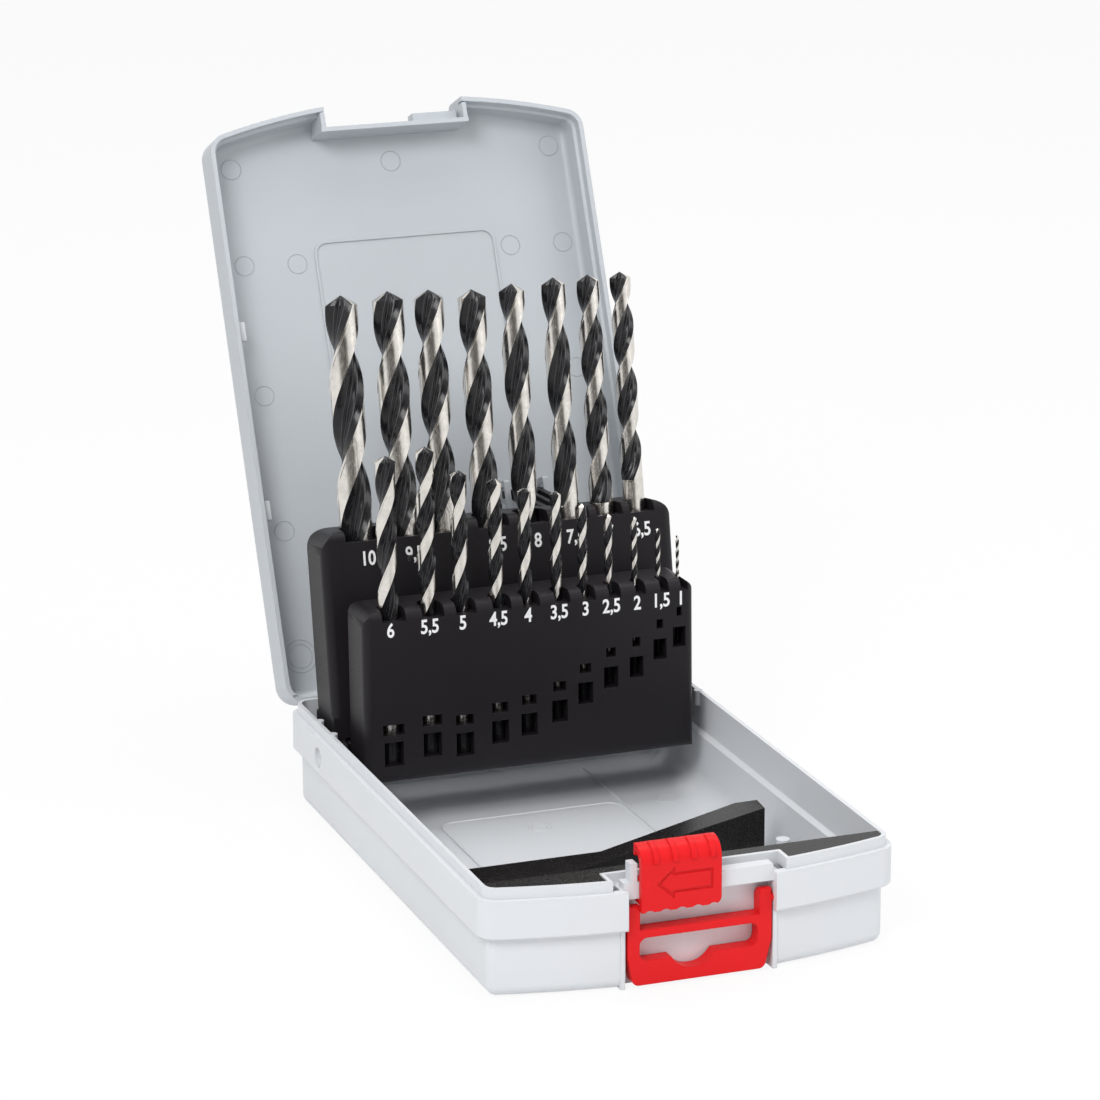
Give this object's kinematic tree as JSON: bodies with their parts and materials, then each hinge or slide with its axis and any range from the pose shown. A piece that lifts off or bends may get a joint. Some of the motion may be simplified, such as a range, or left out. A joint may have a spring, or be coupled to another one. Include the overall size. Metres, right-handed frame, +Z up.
{
  "type": "drill bit case",
  "caption": "Flat plastic case standing open, with two folding racks of twist drills, a sliding latch and a hanger.",
  "frame": {"origin": "centre of the tray's underside, which the case stands on", "axes": "+X to the right as the open case is used, +Y from the latch to the hinge, +Z up"},
  "size_m": [0.12, 0.2649, 0.1947],
  "materials": {
    "shell_plastic": "fine moulded satin, near white",
    "lid_plastic": "satin moulded plastic, pale grey",
    "rack_plastic": "satin black moulded plastic",
    "latch_plastic": "smooth red moulded plastic",
    "drill_steel": "ground bright shanks and lands, black flutes",
    "pin_steel": "plain wire"
  },
  "bodies": {
    "tray": {"base_tray": "shell_plastic", "front_insert": "rack_plastic", "hinge_pin_left": "pin_steel", "hinge_pin_right": "pin_steel", "rack_pivot_left": "rack_plastic", "rack_pivot_right": "rack_plastic"},
    "lid": {"lid_shell": "lid_plastic"},
    "front_rack": {"front_rack": "rack_plastic", "front_lug_left": "rack_plastic", "front_lug_right": "rack_plastic"},
    "rear_rack": {"rear_rack": "rack_plastic", "link_pin": "pin_steel"},
    "link": {"link_arm": "rack_plastic"},
    "latch": {"latch_slide": "latch_plastic"},
    "hanger": {"hanger": "latch_plastic"},
    "drill_1_0": {"drill_1_0": "drill_steel"},
    "drill_1_5": {"drill_1_5": "drill_steel"},
    "drill_2_0": {"drill_2_0": "drill_steel"},
    "drill_2_5": {"drill_2_5": "drill_steel"},
    "drill_3_0": {"drill_3_0": "drill_steel"},
    "drill_3_5": {"drill_3_5": "drill_steel"},
    "drill_4_0": {"drill_4_0": "drill_steel"},
    "drill_4_5": {"drill_4_5": "drill_steel"},
    "drill_5_0": {"drill_5_0": "drill_steel"},
    "drill_5_5": {"drill_5_5": "drill_steel"},
    "drill_6_0": {"drill_6_0": "drill_steel"},
    "drill_6_5": {"drill_6_5": "drill_steel"},
    "drill_7_0": {"drill_7_0": "drill_steel"},
    "drill_7_5": {"drill_7_5": "drill_steel"},
    "drill_8_0": {"drill_8_0": "drill_steel"},
    "drill_8_5": {"drill_8_5": "drill_steel"},
    "drill_9_0": {"drill_9_0": "drill_steel"},
    "drill_9_5": {"drill_9_5": "drill_steel"},
    "drill_10_0": {"drill_10_0": "drill_steel"}
  },
  "joints": [
    {"name": "lid_hinge", "type": "hinge", "parent": "tray", "child": "lid", "pos_m": [0, 0.0868, 0.0295], "axis": [-1, 0, 0], "range_deg": [-114, 0]},
    {"name": "front_rack_hinge", "type": "hinge", "parent": "tray", "child": "front_rack", "pos_m": [0, 0.057, 0.0225], "axis": [-1, 0, 0], "range_deg": [-91.5, 0]},
    {"name": "rear_rack_hinge", "type": "hinge", "parent": "tray", "child": "rear_rack", "pos_m": [0, 0.057, 0.0225], "axis": [-1, 0, 0], "range_deg": [-100.2, 0]},
    {"name": "link_hinge", "type": "hinge", "parent": "rear_rack", "child": "link", "pos_m": [0.026, 0.08095, 0.08174], "axis": [-1, 0, 0], "range_deg": [0, 91.5]},
    {"name": "latch_slide", "type": "slide", "parent": "tray", "child": "latch", "axis": [1, 0, 0], "range_m": [0, 0.0145]},
    {"name": "hanger_hinge", "type": "hinge", "parent": "tray", "child": "hanger", "pos_m": [0, -0.0902, 0.0206], "axis": [-1, 0, 0], "range_deg": [0, 90]},
    {"name": "drill_1_0_slide", "type": "slide", "parent": "front_rack", "child": "drill_1_0", "axis": [0, 0.0227, 0.9997], "range_m": [0, 0.0271]},
    {"name": "drill_1_5_slide", "type": "slide", "parent": "front_rack", "child": "drill_1_5", "axis": [0, 0.0227, 0.9997], "range_m": [0, 0.0303]},
    {"name": "drill_2_0_slide", "type": "slide", "parent": "front_rack", "child": "drill_2_0", "axis": [0, 0.0227, 0.9997], "range_m": [0, 0.035]},
    {"name": "drill_2_5_slide", "type": "slide", "parent": "front_rack", "child": "drill_2_5", "axis": [0, 0.0227, 0.9997], "range_m": [0, 0.0371]},
    {"name": "drill_3_0_slide", "type": "slide", "parent": "front_rack", "child": "drill_3_0", "axis": [0, 0.0227, 0.9997], "range_m": [0, 0.0413]},
    {"name": "drill_3_5_slide", "type": "slide", "parent": "front_rack", "child": "drill_3_5", "axis": [0, 0.0227, 0.9997], "range_m": [0, 0.0459]},
    {"name": "drill_4_0_slide", "type": "slide", "parent": "front_rack", "child": "drill_4_0", "axis": [0, 0.0227, 0.9997], "range_m": [0, 0.0489]},
    {"name": "drill_4_5_slide", "type": "slide", "parent": "front_rack", "child": "drill_4_5", "axis": [0, 0.0227, 0.9997], "range_m": [0, 0.0502]},
    {"name": "drill_5_0_slide", "type": "slide", "parent": "front_rack", "child": "drill_5_0", "axis": [0, 0.0227, 0.9997], "range_m": [0, 0.0527]},
    {"name": "drill_5_5_slide", "type": "slide", "parent": "front_rack", "child": "drill_5_5", "axis": [0, 0.0227, 0.9997], "range_m": [0, 0.0517]},
    {"name": "drill_6_0_slide", "type": "slide", "parent": "front_rack", "child": "drill_6_0", "axis": [0, 0.0227, 0.9997], "range_m": [0, 0.0533]},
    {"name": "drill_6_5_slide", "type": "slide", "parent": "rear_rack", "child": "drill_6_5", "axis": [0, 0.1736, 0.9848], "range_m": [0, 0.0379]},
    {"name": "drill_7_0_slide", "type": "slide", "parent": "rear_rack", "child": "drill_7_0", "axis": [0, 0.1736, 0.9848], "range_m": [0, 0.0459]},
    {"name": "drill_7_5_slide", "type": "slide", "parent": "rear_rack", "child": "drill_7_5", "axis": [0, 0.1736, 0.9848], "range_m": [0, 0.0459]},
    {"name": "drill_8_0_slide", "type": "slide", "parent": "rear_rack", "child": "drill_8_0", "axis": [0, 0.1736, 0.9848], "range_m": [0, 0.0547]},
    {"name": "drill_8_5_slide", "type": "slide", "parent": "rear_rack", "child": "drill_8_5", "axis": [0, 0.1736, 0.9848], "range_m": [0, 0.0553]},
    {"name": "drill_9_0_slide", "type": "slide", "parent": "rear_rack", "child": "drill_9_0", "axis": [0, 0.1736, 0.9848], "range_m": [0, 0.0623]},
    {"name": "drill_9_5_slide", "type": "slide", "parent": "rear_rack", "child": "drill_9_5", "axis": [0, 0.1736, 0.9848], "range_m": [0, 0.0617]},
    {"name": "drill_10_0_slide", "type": "slide", "parent": "rear_rack", "child": "drill_10_0", "axis": [0, 0.1736, 0.9848], "range_m": [0, 0.0698]}
  ],
  "couplings": [
    {"joint": "front_rack_hinge", "follows": "lid_hinge", "ratio": 0.80088},
    {"joint": "rear_rack_hinge", "follows": "lid_hinge", "ratio": 0.87719},
    {"joint": "link_hinge", "follows": "lid_hinge", "ratio": -0.8}
  ]
}
